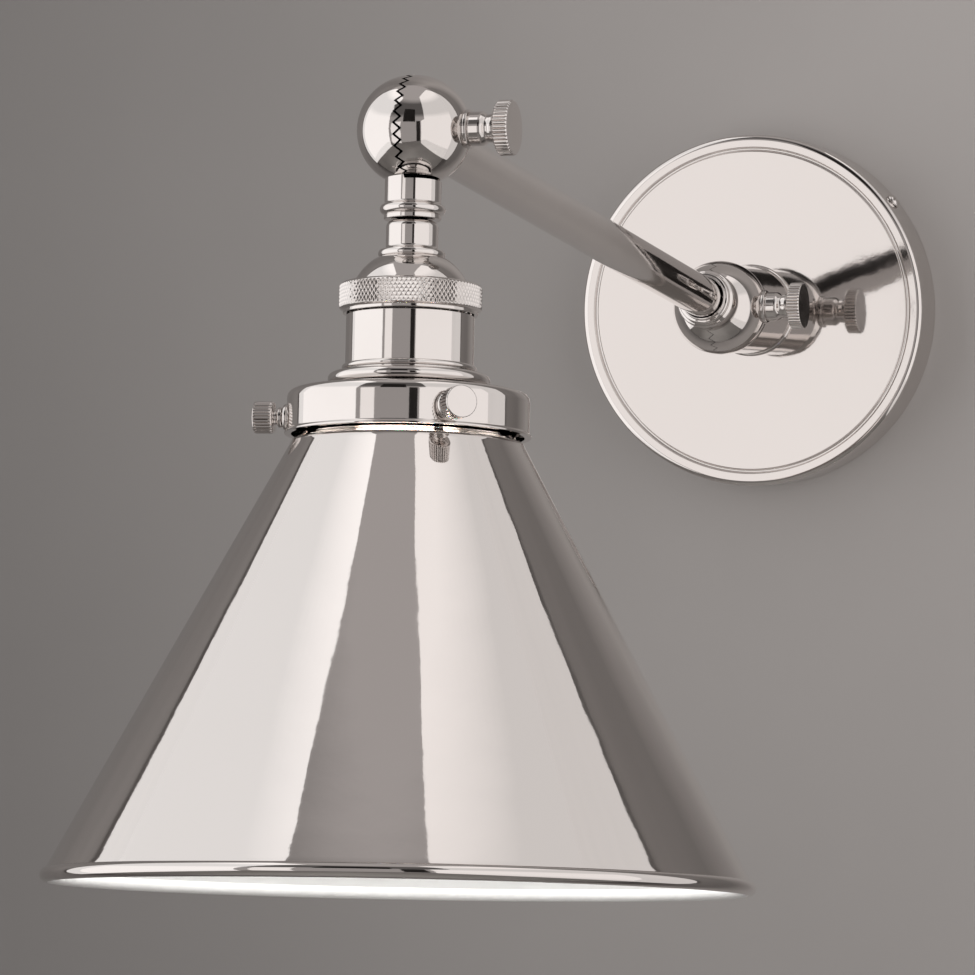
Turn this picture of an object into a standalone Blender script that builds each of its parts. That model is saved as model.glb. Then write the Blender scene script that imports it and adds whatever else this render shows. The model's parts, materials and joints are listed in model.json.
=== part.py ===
"""Swing arm wall sconce: a round wall plate, a toothed ball joint at each end of a straight
arm, and a thumbscrew shade holder with a conical metal shade.

Lengths below are in millimetres and are turned into metres by MM. +Z is up, +X is to the
right as seen from the room, and the wall is the plane y = 0 with the room on its -Y side.
The origin is the centre of the wall plate, on the wall."""

import math

import bmesh
import bpy

MM = 0.001
GAP = 0.3
RIGHT_ANGLE = math.pi / 2

# Wall plate and what is behind it; heights are distances out from the wall.
PLATE_RADIUS = 57.15
PLATE_DEPTH = 18.5
PLATE_SHEET = 1.2
PLATE_EDGE_RADIUS = 1.8
GROOVE_RADIUS = 52.4
PAN_RADIUS = 54.6
PAN_SHEET = 1.5
PAN_DEPTH = 12.0
WIRE_OPENING_RADIUS = 20.0
BOX_SCREW_SPACING = 83.3
BOX_SCREW_REACH = 10.0
SIDE_SCREW_ANGLES = (37.0, 217.0)
SIDE_SCREW_HEIGHT = 9.0
GROUND_SCREW_RADIUS = 30.0
NIPPLE_RADIUS = 5.0
NIPPLE_BORE = 3.6
NECK_RADIUS = 14.2

# Ball joints. Each ball is two halves with a toothed face between them, on the plane x = 0.
BALL_RADIUS = 14.9
BALL_STANDOFF = 37.5
WALL_JOINT_OPENING = 0.2
SHADE_JOINT_OPENING = 0.5
STUD_RADIUS = 2.5
HALF_POCKET_RADIUS = 9.0
HALF_POCKET_DEPTH = 8.0
KNOB_SEAT_RADIUS = 4.6
KNOB_HEAD_RADIUS = 7.45
KNOB_HEAD_THICKNESS = 4.1

# Arm.
ARM_LENGTH = 308.0
ARM_RISE = math.radians(7.5)
TUBE_RADIUS = 6.35
TUBE_BORE = 5.3
COLLAR_RADIUS = 9.2

# Shade and lamp holder; heights are distances down the stem from the centre of the ball.
SHADE_LEAN = math.radians(6.5)
STEM_RADIUS = 7.55
STEM_BORE = 4.0
COUPLING_RADIUS = 6.95
SHELL_RADIUS = 17.05
KNURL_RADIUS = 19.05
FITTER_RADIUS = 32.2
FITTER_TOP = 69.6
FITTER_BOTTOM = 81.8
FITTER_SCREW_HEIGHT = 76.7
FITTER_SCREW_TURNS = (38.0, 158.0, 278.0)
SHADE_NECK_RADIUS = 28.5
SHADE_SHEET = 0.9
CONE_TOP = (31.2, 84.6)
RIM_BEAD_RADIUS = 2.0
RIM_CENTRE = (91.9, 199.4)

COARSE, MEDIUM, FINE = 12, 16, 40

FINISHES = {
    "polished_nickel": ((0.62, 0.58, 0.56), 0.08, 1.0),
    "nickel_shade": ((0.62, 0.58, 0.56), 0.08, 1.0),
    "zinc_steel": ((0.55, 0.56, 0.57), 0.35, 1.0),
    "ground_green": ((0.05, 0.30, 0.10), 0.35, 0.0),
    "brass": ((0.72, 0.53, 0.26), 0.25, 1.0),
    "aluminium": ((0.78, 0.78, 0.79), 0.25, 1.0),
    "porcelain": ((0.88, 0.87, 0.84), 0.30, 0.0),
    "opal_glass": ((0.92, 0.91, 0.88), 0.15, 0.0),
}


def clear_scene():
    for thing in list(bpy.data.objects):
        bpy.data.objects.remove(thing)


def finish(name):
    """The material of this name, made from FINISHES when it is first asked for."""
    made = bpy.data.materials.get(name)
    if made:
        return made
    colour, roughness, metallic = FINISHES[name]
    made = bpy.data.materials.new(name)
    made.use_nodes = True
    shader = made.node_tree.nodes["Principled BSDF"]
    shader.inputs["Base Color"].default_value = (*colour, 1.0)
    shader.inputs["Roughness"].default_value = roughness
    shader.inputs["Metallic"].default_value = metallic
    return made


def arc(centre, radius, start, end, steps):
    """Points of an arc in degrees; 0 points away from the axis and 90 towards smaller heights."""
    across, height = centre
    angles = [math.radians(start + (end - start) * i / steps) for i in range(steps + 1)]
    return [(across + radius * math.cos(a), height - radius * math.sin(a)) for a in angles]


def lathe(outline, segments, first_turn=0.0):
    """A mesh turned about Z from (radius, height) points. An outline that starts on the axis
    also ends on it; any other outline closes on itself and makes a ring."""
    build = bmesh.new()
    turns = [first_turn + 2 * math.pi * i / segments for i in range(segments)]
    rings = []
    for radius, height in outline:
        if radius == 0:
            rings.append([build.verts.new((0, 0, height * MM))])
            continue
        across = radius * MM
        places = [(across * math.cos(t), across * math.sin(t), height * MM) for t in turns]
        rings.append([build.verts.new(place) for place in places])
    pairs = list(zip(rings, rings[1:]))
    if outline[0][0] > 0:
        pairs.append((rings[-1], rings[0]))
    for first, second in pairs:
        for i in range(segments):
            j = (i + 1) % segments
            ends = (first, i), (first, j), (second, j), (second, i)
            corners = list(dict.fromkeys(ring[k % len(ring)] for ring, k in ends))
            if len(corners) > 2:
                build.faces.new(corners)
    bmesh.ops.recalc_face_normals(build, faces=build.faces)
    mesh = bpy.data.meshes.new("turned")
    build.to_mesh(mesh)
    build.free()
    return mesh


def add_object(name, mesh, parent, location, turn):
    piece = bpy.data.objects.new(name, mesh)
    bpy.context.scene.collection.objects.link(piece)
    piece.parent = parent
    piece.location = [value * MM for value in location]
    piece.rotation_euler = turn
    return piece


def axis_empty(name, parent=None, location=(0, 0, 0), turn=(0, 0, 0)):
    """An empty on a joint's axis, which the pieces that move with it hang on."""
    return add_object(name, None, parent, location, turn)


def turned(name, outline, material, parent, segments=MEDIUM, location=(0, 0, 0), turn=(0, 0, 0)):
    """A turned piece, on its parent empty."""
    mesh = lathe(outline, segments)
    mesh.shade_smooth()
    mesh.set_sharp_from_angle(angle=math.radians(35))
    mesh.materials.append(finish(material))
    return add_object(name, mesh, parent, location, turn)


def drill(piece, radius, start, end, location=(0, 0, 0), turn=(0, 0, 0)):
    """Cuts a round hole from start to end along the cutter's own Z. The cutter's corners are
    turned a little, so that none of them falls on an edge of the piece."""
    mesh = lathe([(0, start), (radius, start), (radius, end), (0, end)], COARSE, 0.1)
    cutter = add_object(piece.name + "_drill", mesh, piece.parent, location, turn)
    cutter.hide_render = True
    cutter.display_type = "WIRE"
    cut = piece.modifiers.new("hole", "BOOLEAN")
    cut.operation = "DIFFERENCE"
    cut.object = cutter


def sideways(angle):
    """The turn that lays a piece's Z along a radius at this angle in degrees from X."""
    return (0, RIGHT_ANGLE, math.radians(angle))


def make_wall_plate(wall):
    """The spun cup that is seen, and the pan behind it that is screwed to the outlet box."""
    inner = PLATE_RADIUS - PLATE_SHEET
    back = PLATE_DEPTH - PLATE_SHEET
    edge = (PLATE_RADIUS - PLATE_EDGE_RADIUS, PLATE_DEPTH - PLATE_EDGE_RADIUS)
    # Heights grow towards the room, so the rounded edge is drawn with its arc turned over.
    rounded = [(r, 2 * edge[1] - h) for r, h in arc(edge, PLATE_EDGE_RADIUS, 0, 90, 3)]
    groove = [
        (GROOVE_RADIUS + 0.8, PLATE_DEPTH),
        (GROOVE_RADIUS + 0.4, PLATE_DEPTH - 0.6),
        (GROOVE_RADIUS - 0.4, PLATE_DEPTH - 0.6),
        (GROOVE_RADIUS - 0.8, PLATE_DEPTH),
    ]
    hole = NIPPLE_RADIUS + 2 * GAP
    outline = [(inner, 0), (PLATE_RADIUS, 0), *rounded, *groove]
    outline += [(hole, PLATE_DEPTH), (hole, back), (inner - PLATE_SHEET, back), (inner, back - PLATE_SHEET)]
    plate = turned("backplate", outline, "polished_nickel", wall, FINE)

    outline = [(WIRE_OPENING_RADIUS, 0), (PAN_RADIUS, 0), (PAN_RADIUS, PAN_DEPTH)]
    outline += [(PAN_RADIUS - PAN_SHEET, PAN_DEPTH), (PAN_RADIUS - PAN_SHEET, PAN_SHEET)]
    outline += [(WIRE_OPENING_RADIUS, PAN_SHEET)]
    pan = turned("mounting_pan", outline, "zinc_steel", wall, 32)

    screw_hole = 1.9
    for number, angle in enumerate(SIDE_SCREW_ANGLES, 1):
        place = (0, 0, SIDE_SCREW_HEIGHT)
        turn = sideways(angle)
        drill(plate, screw_hole, PLATE_RADIUS - 3, PLATE_RADIUS + 1, place, turn)
        drill(pan, screw_hole, PAN_RADIUS - 3, PAN_RADIUS + 0.8, place, turn)
        seat = PLATE_RADIUS + GAP
        outline = [(0, 51.0), (1.5, 51.0), (1.5, seat), (2.5, seat), (2.5, seat + 0.8)]
        outline += [(1.7, seat + 1.5), (0, seat + 1.5)]
        turned(f"side_screw_{number}", outline, "polished_nickel", wall, COARSE, place, turn)

    seat = PAN_SHEET + GAP
    for number, side in enumerate((-1, 1), 1):
        place = (side * BOX_SCREW_SPACING / 2, 0, 0)
        drill(pan, 2.5, -1, PAN_SHEET + 1, place)
        outline = [(0, -BOX_SCREW_REACH), (2.1, -BOX_SCREW_REACH), (2.1, seat), (4.0, seat)]
        outline += [(4.0, seat + 1.0), (2.8, seat + 2.4), (0, seat + 2.4)]
        turned(f"box_screw_{number}", outline, "zinc_steel", wall, COARSE, place)
    place = (0, -GROUND_SCREW_RADIUS, 0)
    drill(pan, 2.1, -1, PAN_SHEET + 1, place)
    outline = [(0, 0.2), (1.7, 0.2), (1.7, seat), (3.4, seat), (3.4, seat + 1.6), (0, seat + 1.6)]
    turned("ground_screw", outline, "ground_green", wall, COARSE, place)


def clearance_radius(opening):
    """Radius of the hollow end that a neck, collar or stem has where it meets a ball."""
    return BALL_RADIUS + 0.6 * opening + 0.55


def hollow_end(radius, inner, outer, steps=3):
    """Points on a ball of this radius between two distances from the axis."""
    across = [inner + (outer - inner) * i / steps for i in range(steps + 1)]
    return [(r, math.sqrt(radius**2 - r**2)) for r in across]


def make_hub(swivel):
    """The neck that carries the inner half of the wall joint, and what holds it in the plate."""
    bore = NIPPLE_RADIUS + GAP
    outline = [(NIPPLE_BORE, 11.0), (NIPPLE_RADIUS, 11.0), (NIPPLE_RADIUS, 31.0), (NIPPLE_BORE, 31.0)]
    turned("threaded_nipple", outline, "zinc_steel", swivel, COARSE)
    outline = [(bore, 16.0), (9.5, 16.0), (9.5, 17.0), (bore, 17.0)]
    turned("friction_washer", outline, "brass", swivel, COARSE)
    nut = turned("hex_nut", [(0, 12.2), (8.2, 12.2), (8.2, 15.7), (0, 15.7)], "brass", swivel, 6)
    drill(nut, bore, 11.0, 17.0)
    seat = PLATE_DEPTH + GAP
    outline = [(bore, seat), (14.9, seat), (14.9, seat + 0.9), (14.5, seat + 1.2), (bore, seat + 1.2)]
    turned("swivel_ring", outline, "polished_nickel", swivel)

    base = seat + 1.2 + GAP
    ball_height = PLATE_DEPTH + BALL_STANDOFF
    wire_bore = 4.0
    hollow = hollow_end(clearance_radius(WALL_JOINT_OPENING), wire_bore, NECK_RADIUS, 5)
    hollow = [(r, ball_height - h) for r, h in reversed(hollow)]
    outline = [(bore, base), (NECK_RADIUS - 0.6, base), (NECK_RADIUS, base + 0.6), *hollow]
    outline += [(wire_bore, 32.0), (bore, 32.0)]
    turned("hub_neck", outline, "polished_nickel", swivel)


def ball_half(name, side, opening, parent, drilled):
    """Half a joint ball, turned about the hinge axis; the drilled half lets the stud through."""
    face = 0.2
    bore = STUD_RADIUS + 0.4
    reach = math.degrees(math.acos(KNOB_SEAT_RADIUS / BALL_RADIUS))
    dome = arc((0, -opening), BALL_RADIUS, 0, reach if drilled else RIGHT_ANGLE * 180 / math.pi, 5)
    seat = -dome[-1][1]
    pocket = [(bore, HALF_POCKET_DEPTH), (HALF_POCKET_RADIUS, HALF_POCKET_DEPTH)]
    outline = [(HALF_POCKET_RADIUS, face), (BALL_RADIUS, face)]
    outline += [(r, -h) for r, h in (dome if opening > face else dome[1:])]
    if drilled:
        outline += [(bore, seat), *pocket]
    else:
        dome_end = (0, BALL_RADIUS + opening)
        outline = [(0, 12.0), (bore, 12.0), *pocket, *outline[:-1], dome_end]
    outline = [(r, side * h) for r, h in outline]
    turned(name, outline, "polished_nickel", parent)


def make_joint_knob(prefix, opening, parent):
    """A clamp knob: washer, threaded stud, and a turned knob with a round head."""
    seat = opening + math.sqrt(BALL_RADIUS**2 - KNOB_SEAT_RADIUS**2)
    bore = STUD_RADIUS + GAP
    start = seat + GAP
    outline = [(bore, start), (5.1, start), (5.1, start + 0.9), (bore, start + 0.9)]
    turned(prefix + "_washer", outline, "polished_nickel", parent, COARSE)
    drum = start + 0.9 + GAP
    depth = drum + 6.8
    outline = [(0, -11.5), (STUD_RADIUS, -11.5), (STUD_RADIUS, depth - GAP), (0, depth - GAP)]
    turned(prefix + "_stud", outline, "zinc_steel", parent, COARSE)
    head = drum + 7.6
    top = head + KNOB_HEAD_THICKNESS
    outline = [(0, depth), (bore, depth), (bore, drum), (4.6, drum), (4.6, drum + 3.5)]
    outline += [(3.6, drum + 4.6), (3.9, drum + 6.2), (3.5, head), (KNOB_HEAD_RADIUS, head)]
    outline += [(KNOB_HEAD_RADIUS, top), (0, top)]
    turned(prefix + "_knob", outline, "polished_nickel", parent)


def arm_collar(name, opening, parent, flip):
    """The stepped collar that joins the tube to a ball; the far one is turned end for end."""
    bore = TUBE_RADIUS + GAP
    outline = hollow_end(clearance_radius(opening), bore, COLLAR_RADIUS)
    outline += [(COLLAR_RADIUS, 18.4), (COLLAR_RADIUS - 0.6, 19.0), (8.0, 19.0), (8.0, 20.9)]
    outline += [(7.4, 21.5), (bore, 21.5)]
    if flip:
        outline = [(r, ARM_LENGTH - h) for r, h in outline]
    turned(name, outline, "polished_nickel", parent)


def make_arm(arm):
    arm_collar("wall_collar", WALL_JOINT_OPENING, arm, False)
    arm_collar("shade_collar", SHADE_JOINT_OPENING, arm, True)
    start = 16.5
    end = ARM_LENGTH - 17.0
    outline = [(TUBE_BORE, start), (TUBE_RADIUS, start), (TUBE_RADIUS, end), (TUBE_BORE, end)]
    turned("arm_tube", outline, "polished_nickel", arm)


def make_stem(lamp):
    hollow = hollow_end(clearance_radius(SHADE_JOINT_OPENING), STEM_BORE, STEM_RADIUS, 2)
    bead = arc((7.4, 21.25), 1.35, 75, -75, 4)
    outline = [*hollow, (STEM_RADIUS, 19.9), *bead, (7.65, 22.8), (7.65, 24.0), (STEM_BORE, 24.0)]
    turned("stem", outline, "polished_nickel", lamp)
    outline = [(STEM_BORE, 24.3), (5.4, 24.3), (6.5, 24.9), (COUPLING_RADIUS, 26.0)]
    outline += [(COUPLING_RADIUS, 31.8), (8.7, 33.1), (9.0, 33.7), (8.6, 34.3), (STEM_BORE, 34.3)]
    turned("stem_coupling", outline, "polished_nickel", lamp)


def make_lamp_holder(lamp):
    """The metal cap and shell of the lamp holder, and its inside."""
    centre = (1.0, 47.5)
    outer = arc(centre, 15.6, 56, 0, 5)
    inner = arc(centre, 14.6, 0, 54, 5)
    outline = [(4.3, outer[0][1]), *outer, *inner, (4.3, inner[-1][1])]
    turned("socket_cap", outline, "polished_nickel", lamp)

    bore = SHELL_RADIUS - 0.1
    outline = [(bore, 41.3), (18.5, 41.3), (KNURL_RADIUS, 41.8), (KNURL_RADIUS, 48.0)]
    outline += [(18.5, 48.5), (18.0, 48.6), (18.0, 49.5), (bore, 49.5)]
    turned("knurled_ring", outline, "polished_nickel", lamp)
    shell_bore = 15.9
    outline = [(shell_bore, 49.8), (SHELL_RADIUS, 49.8), (SHELL_RADIUS, 75.0), (shell_bore, 75.0)]
    turned("socket_shell", outline, "polished_nickel", lamp)

    bore = SHELL_RADIUS + GAP
    bead = arc((bore + 0.2, 63.8), 0.8, 90, -90, 4)
    turned("shell_bead", [(bore, 63.0), *bead, (bore, 64.6)], "polished_nickel", lamp)
    bead = arc((19.75, 66.85), 1.85, 90, -90, 6)
    turned("upper_fitter_ring", [(bore, 65.0), *bead, (bore, 68.7)], "polished_nickel", lamp)
    outline = [(bore, 71.3), (22.0, 71.5), (22.0, 74.3), (bore, 74.3)]
    turned("lower_fitter_ring", outline, "brass", lamp)

    outline = [(0, 48.6), (12.0, 48.6), (15.4, 50.2), (15.4, 72.0), (14.0, 72.0), (14.0, 54.0), (0, 54.0)]
    core = turned("socket_core", outline, "porcelain", lamp)
    for name, side in (("line", -1), ("neutral", 1)):
        place = (side * 8.0, 0, 0)
        drill(core, 1.7, 47.0, 52.0, place)
        outline = [(0, 47.0), (2.6, 47.0), (2.6, 48.3), (1.3, 48.3), (1.3, 51.5), (0, 51.5)]
        turned(f"{name}_terminal_screw", outline, "brass", lamp, COARSE, place)
    outline = [(13.3, 54.5), (13.7, 54.5), (13.7, 73.0), (13.3, 73.0)]
    turned("screw_shell", outline, "brass", lamp)
    outline = [(0, 54.3), (3.5, 54.3), (3.5, 54.9), (0, 54.9)]
    turned("centre_contact", outline, "brass", lamp, COARSE)


def make_bulb(lamp):
    outline = [(0, 55.3), (2.2, 55.3), (2.8, 56.2), (0, 56.2)]
    turned("bulb_tip", outline, "brass", lamp, COARSE)
    outline = [(0, 56.5), (4.5, 56.5), (9.0, 58.3), (12.9, 59.8), (12.9, 74.5), (0, 74.5)]
    turned("bulb_base", outline, "aluminium", lamp)
    # The glass is a thin shell, open at the neck where the base closes it.
    centre = (0, 127.0)
    outer = arc(centre, 29.5, 50, -75, 8)
    inner = arc(centre, 28.5, -75, 50, 8)
    outline = [(0, 156.5), *reversed(outer), (15.3, 92.0), (13.3, 82.0), (12.6, 74.8)]
    outline += [(11.6, 74.8), (12.3, 82.0), (14.3, 92.3), *reversed(inner), (0, 155.5)]
    turned("bulb_glass", outline, "opal_glass", lamp)


def make_fitter(lamp):
    """The cup that holds the shade's neck with three thumbscrews."""
    bore = SHELL_RADIUS + 2 * GAP
    corner = arc((29.6, 72.6), 2.6, 90, 0, 3)
    outline = [(bore, FITTER_TOP), *corner, (FITTER_RADIUS, 80.8), (32.8, 81.3), (32.8, FITTER_BOTTOM)]
    outline += [(30.9, FITTER_BOTTOM), (30.9, 72.8), (29.4, 71.2), (bore, 70.8)]
    fitter = turned("shade_fitter", outline, "polished_nickel", lamp, 28)
    pivots = []
    place = (0, 0, FITTER_SCREW_HEIGHT)
    for number, angle in enumerate(FITTER_SCREW_TURNS, 1):
        turn = sideways(90.0 - angle)
        drill(fitter, 1.9, 29.5, 33.5, place, turn)
        outline = [(1.9, 32.5), (3.2, 32.5), (3.55, 33.0), (3.2, 33.6), (1.9, 33.6)]
        turned(f"fitter_boss_{number}", outline, "polished_nickel", lamp, COARSE, place, turn)
        pivot = axis_empty(f"thumbscrew_axis_{number}", lamp, place, turn)
        outline = [(0, 28.8), (1.6, 28.8), (1.6, 33.9), (3.0, 33.9), (3.0, 34.9), (2.0, 35.1)]
        outline += [(2.0, 36.1), (4.3, 36.1), (4.3, 41.5), (0, 41.5)]
        turned(f"thumbscrew_{number}", outline, "polished_nickel", pivot, COARSE)
        pivots.append(pivot)
    return pivots


def make_shade(lamp):
    """The spun cone with its neck and rolled rim, open below."""
    neck_top = 75.6
    neck = SHADE_NECK_RADIUS
    rim = arc(RIM_CENTRE, RIM_BEAD_RADIUS, 90, -225, 7)
    slope = (rim[0][0] - CONE_TOP[0]) / (rim[0][1] - CONE_TOP[1])
    wall = SHADE_SHEET * math.hypot(1, slope)
    inner_top = (CONE_TOP[0] - wall, CONE_TOP[1] + 0.3)
    outline = [(neck - SHADE_SHEET, neck_top), (neck, neck_top), (neck, 82.4), (29.6, 82.8)]
    outline += [(30.6, 83.5), CONE_TOP, *rim, inner_top, (neck - SHADE_SHEET, 83.4)]
    turned("shade", outline, "nickel_shade", lamp, FINE)


def main():
    clear_scene()
    wall = axis_empty("wall_frame", turn=(RIGHT_ANGLE, 0, 0))
    swivel = axis_empty("swivel_axis", wall)
    make_wall_plate(wall)
    make_hub(swivel)

    ball_place = (0, 0, PLATE_DEPTH + BALL_STANDOFF)
    along_x = (0, RIGHT_ANGLE, 0)
    wall_joint = axis_empty("wall_joint_axis", swivel, ball_place, along_x)
    ball_half("wall_joint_fixed_half", -1, WALL_JOINT_OPENING, wall_joint, False)

    arm = axis_empty("arm_frame", swivel, ball_place, (-ARM_RISE, 0, 0))
    make_arm(arm)
    near_axis = axis_empty("near_ball_axis", arm, turn=along_x)
    ball_half("wall_joint_arm_half", 1, WALL_JOINT_OPENING, near_axis, True)
    make_joint_knob("wall_joint", WALL_JOINT_OPENING, near_axis)
    far_axis = axis_empty("far_ball_axis", arm, (0, 0, ARM_LENGTH), along_x)
    ball_half("shade_joint_arm_half", 1, SHADE_JOINT_OPENING, far_axis, True)
    make_joint_knob("shade_joint", SHADE_JOINT_OPENING, far_axis)

    # In the arm frame Z runs along the arm, so the stem turns back from it and downwards.
    stem_turn = RIGHT_ANGLE + ARM_RISE - SHADE_LEAN
    lamp = axis_empty("shade_joint_axis", arm, (0, 0, ARM_LENGTH), (stem_turn, 0, 0))
    stem_axis = axis_empty("stem_ball_axis", lamp, turn=along_x)
    ball_half("shade_joint_stem_half", -1, SHADE_JOINT_OPENING, stem_axis, False)
    make_stem(lamp)
    make_lamp_holder(lamp)
    make_bulb(lamp)
    make_fitter(lamp)
    make_shade(lamp)


main()
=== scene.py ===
import json
import math

import bmesh
import bpy
from mathutils import Matrix, Vector


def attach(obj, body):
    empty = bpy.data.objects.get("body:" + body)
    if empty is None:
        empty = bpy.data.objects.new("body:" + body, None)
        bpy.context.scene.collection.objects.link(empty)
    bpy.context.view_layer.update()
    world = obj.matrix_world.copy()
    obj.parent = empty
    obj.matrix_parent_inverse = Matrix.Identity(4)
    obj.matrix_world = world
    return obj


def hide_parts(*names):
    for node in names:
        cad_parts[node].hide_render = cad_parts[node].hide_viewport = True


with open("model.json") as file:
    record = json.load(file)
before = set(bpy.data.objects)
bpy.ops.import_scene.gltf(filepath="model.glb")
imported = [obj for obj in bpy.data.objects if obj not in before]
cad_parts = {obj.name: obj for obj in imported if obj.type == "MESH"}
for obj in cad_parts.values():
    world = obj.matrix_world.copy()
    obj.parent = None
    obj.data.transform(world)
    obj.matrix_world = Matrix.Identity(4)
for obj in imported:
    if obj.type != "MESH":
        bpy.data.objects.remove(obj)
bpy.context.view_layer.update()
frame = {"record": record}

MM = 0.001
JOINTS = {joint["name"]: joint for joint in frame["record"]["behaviour"]["joints"]}

# ---------------------------------------------------------------- where the pieces stand


def axes_frame(origin, along, side):
    """A frame at origin whose Z runs along the piece and whose X is as near side as it can be."""
    z = Vector(along).normalized()
    x = (Vector(side) - Vector(side).dot(z) * z).normalized()
    turn = Matrix((x, z.cross(x), z)).transposed().to_4x4()
    return Matrix.Translation(Vector(origin)) @ turn


RIGHT = (1, 0, 0)
ball_a = Vector(JOINTS["arm_pitch"]["pos_m"])
ball_b = Vector(JOINTS["shade_tilt"]["pos_m"])
screws = [JOINTS[f"thumbscrew_{number}_turn"] for number in (1, 2, 3)]
screw_centre = sum((Vector(screw["pos_m"]) for screw in screws), Vector()) / 3
FRAME_WALL = axes_frame((0, 0, 0), (0, -1, 0), RIGHT)
FRAME_ARM = axes_frame(ball_a, ball_b - ball_a, RIGHT)
FRAME_LAMP = axes_frame(ball_b, screw_centre - ball_b, RIGHT)
FRAME_HINGE_A = axes_frame(ball_a, RIGHT, (0, 0, 1))
FRAME_HINGE_B = axes_frame(ball_b, RIGHT, (0, 0, 1))
ARM_LENGTH = (ball_b - ball_a).length / MM
FLIP = Matrix.Rotation(math.pi, 4, "X")

# ---------------------------------------------------------------- node helpers


def step(tree, kind, inputs=None, **settings):
    """A node with these settings; an input is a number, a colour or a socket to link."""
    node = tree.nodes.new(kind)
    for name, value in settings.items():
        setattr(node, name, value)
    for name, value in (inputs or {}).items():
        if isinstance(value, bpy.types.NodeSocket):
            tree.links.new(value, node.inputs[name])
        else:
            node.inputs[name].default_value = value
    return node


def calc(tree, operation, *terms, clamp=False):
    """The result of one sum; each term is a number or a socket."""
    node = tree.nodes.new("ShaderNodeMath")
    node.operation = operation
    node.use_clamp = clamp
    for place, term in zip(node.inputs, terms):
        if isinstance(term, bpy.types.NodeSocket):
            tree.links.new(term, place)
        else:
            place.default_value = term
    return node.outputs[0]


def new_group(name, kind, inputs, outputs):
    """An empty node group with named sockets, and its input and output nodes."""
    tree = bpy.data.node_groups.new(name, kind)
    for label, socket in inputs.items():
        tree.interface.new_socket(label, in_out="INPUT", socket_type=socket)
    for label, socket in outputs.items():
        tree.interface.new_socket(label, in_out="OUTPUT", socket_type=socket)
    return tree, tree.nodes.new("NodeGroupInput"), tree.nodes.new("NodeGroupOutput")


# ---------------------------------------------------------------- finishes

COLOUR, NUMBER = "NodeSocketColor", "NodeSocketFloat"


def make_handling_group():
    """Faint wiping marks and dust: a large soft cloud and a fine speckle."""
    tree, given, result = new_group(
        "Handling Marks",
        "ShaderNodeTree",
        {"Color": COLOUR, "Mark Color": COLOUR, "Roughness": NUMBER, "Scale": NUMBER, "Amount": NUMBER},
        {"Color": COLOUR, "Roughness": NUMBER, "Height": NUMBER},
    )
    place = step(tree, "ShaderNodeTexCoord").outputs["Object"]
    scale = given.outputs["Scale"]
    cloud = step(tree, "ShaderNodeTexNoise", {"Vector": place, "Scale": scale, "Detail": 3.0})
    fine_scale = calc(tree, "MULTIPLY", scale, 11.0)
    speckle = step(tree, "ShaderNodeTexNoise", {"Vector": place, "Scale": fine_scale, "Detail": 4.0})
    cloud = cloud.outputs[0]
    speckle = speckle.outputs[0]
    mask = calc(tree, "MULTIPLY", calc(tree, "SUBTRACT", cloud, 0.42), 3.0, clamp=True)
    mask = calc(tree, "MULTIPLY", mask, given.outputs["Amount"], clamp=True)
    mixed = step(tree, "ShaderNodeMix", data_type="RGBA")
    colours = [socket for socket in mixed.inputs if socket.type == "RGBA"]
    tree.links.new(mask, mixed.inputs[0])
    tree.links.new(given.outputs["Color"], colours[0])
    tree.links.new(given.outputs["Mark Color"], colours[1])
    mixed_colour = [socket for socket in mixed.outputs if socket.type == "RGBA"][0]
    tree.links.new(mixed_colour, result.inputs["Color"])
    rise = calc(tree, "MULTIPLY", calc(tree, "ADD", mask, calc(tree, "MULTIPLY", speckle, 0.3)), 0.06)
    tree.links.new(calc(tree, "ADD", given.outputs["Roughness"], rise), result.inputs["Roughness"])
    height = calc(tree, "ADD", cloud, calc(tree, "MULTIPLY", speckle, 0.04))
    tree.links.new(height, result.inputs["Height"])
    return tree


HANDLING = make_handling_group()


def make_finish(name, colour, mark, roughness, scale, amount, depth, **sockets):
    """A material with handling marks; sockets are uniform values of its own shader."""
    made = bpy.data.materials.new(name)
    made.use_nodes = True
    tree = made.node_tree
    shader = tree.nodes["Principled BSDF"]
    marks = step(tree, "ShaderNodeGroup", node_tree=HANDLING)
    values = {"Color": (*colour, 1), "Mark Color": (*mark, 1), "Roughness": roughness, "Scale": scale}
    for label, value in {**values, "Amount": amount}.items():
        marks.inputs[label].default_value = value
    tree.links.new(marks.outputs["Color"], shader.inputs["Base Color"])
    tree.links.new(marks.outputs["Roughness"], shader.inputs["Roughness"])
    height = marks.outputs["Height"]
    bump = step(tree, "ShaderNodeBump", {"Height": height, "Distance": depth, "Strength": 1.0})
    tree.links.new(bump.outputs["Normal"], shader.inputs["Normal"])
    for label, value in sockets.items():
        shader.inputs[label.replace("_", " ")].default_value = value
    return made


NICKEL_COLOUR = (0.74, 0.705, 0.685)
nickel = make_finish(
    "polished nickel", NICKEL_COLOUR, (0.68, 0.645, 0.62), 0.035, 60.0, 0.25, 0.00002, Metallic=1.0
)
nickel_spun = make_finish(
    "polished nickel, spun sheet", NICKEL_COLOUR, (0.69, 0.655, 0.63), 0.03, 14.0, 0.2, 0.00035,
    Metallic=1.0,
)
enamel = make_finish(
    "white enamel", (0.93, 0.93, 0.92), (0.88, 0.88, 0.86), 0.22, 30.0, 0.3, 0.0001, Coat_Weight=0.5,
    Coat_Roughness=0.08,
)
zinc = make_finish(
    "zinc plate", (0.60, 0.62, 0.63), (0.42, 0.44, 0.46), 0.30, 90.0, 0.6, 0.00005, Metallic=1.0
)
ground_green = make_finish(
    "green screw plate", (0.04, 0.27, 0.09), (0.02, 0.14, 0.05), 0.30, 200.0, 0.5, 0.00005, Metallic=0.6
)
brass = make_finish(
    "machined brass", (0.74, 0.55, 0.27), (0.52, 0.36, 0.16), 0.20, 120.0, 0.5, 0.00003, Metallic=1.0
)
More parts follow.
